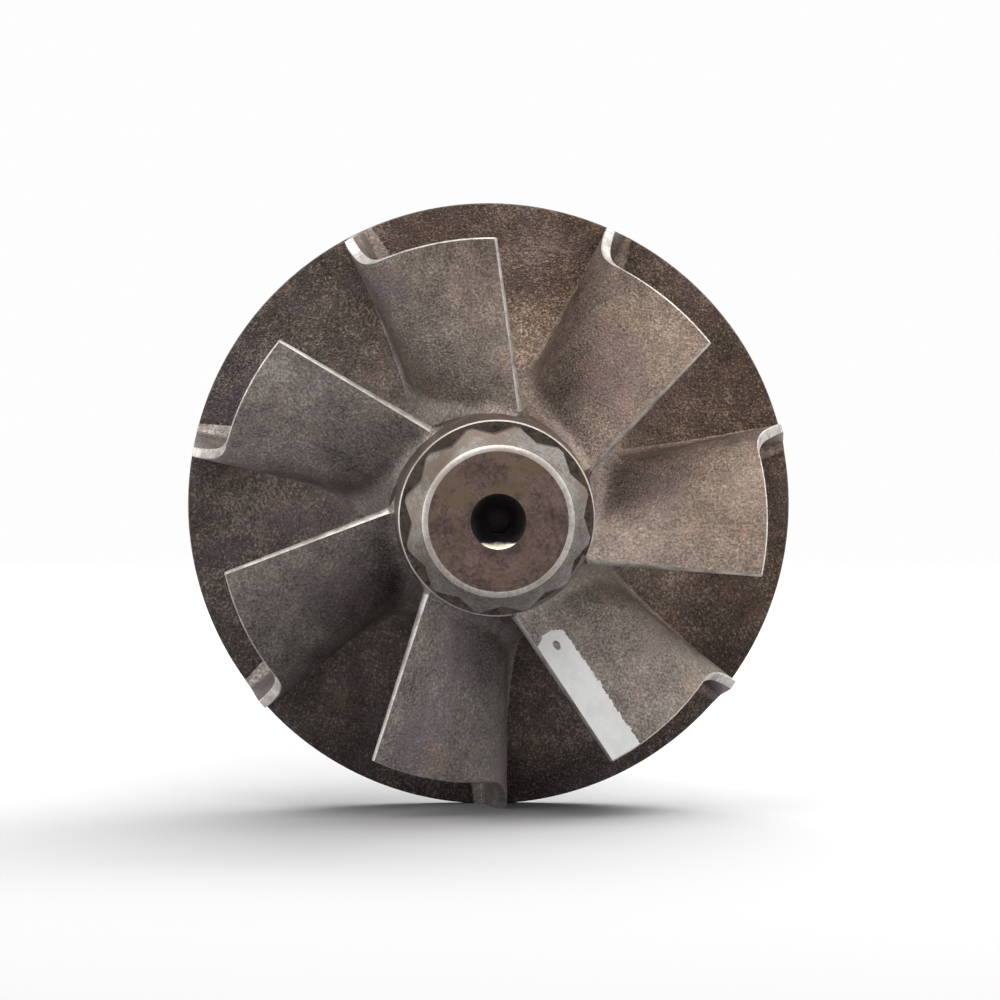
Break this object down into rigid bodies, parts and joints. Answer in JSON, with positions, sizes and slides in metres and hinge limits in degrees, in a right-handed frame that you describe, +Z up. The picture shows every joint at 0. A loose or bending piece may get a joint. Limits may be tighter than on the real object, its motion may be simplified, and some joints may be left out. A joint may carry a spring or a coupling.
{
  "type": "turbine shaft wheel",
  "caption": "Radial turbine wheel of a turbocharger with swept blades and a wrench-point nose, welded to a stepped rotor shaft with bearing journals and a threaded end.",
  "frame": {"origin": "on the rotor's axis, at the middle of the turbine-end journal", "axes": "+Y along the rotor's axis toward the threaded end, so the nose faces -Y; +Z up, with the axis level as in the bearings"},
  "size_m": [0.045, 0.1232, 0.045],
  "materials": {
    "cast_alloy": "investment-cast nickel alloy, heat-stained brown and grey, with bright ground edges",
    "ground_steel": "turned and ground steel"
  },
  "bodies": {
    "root": {"turbine_wheel": "cast_alloy", "rotor_shaft": "ground_steel"}
  },
  "joints": []
}
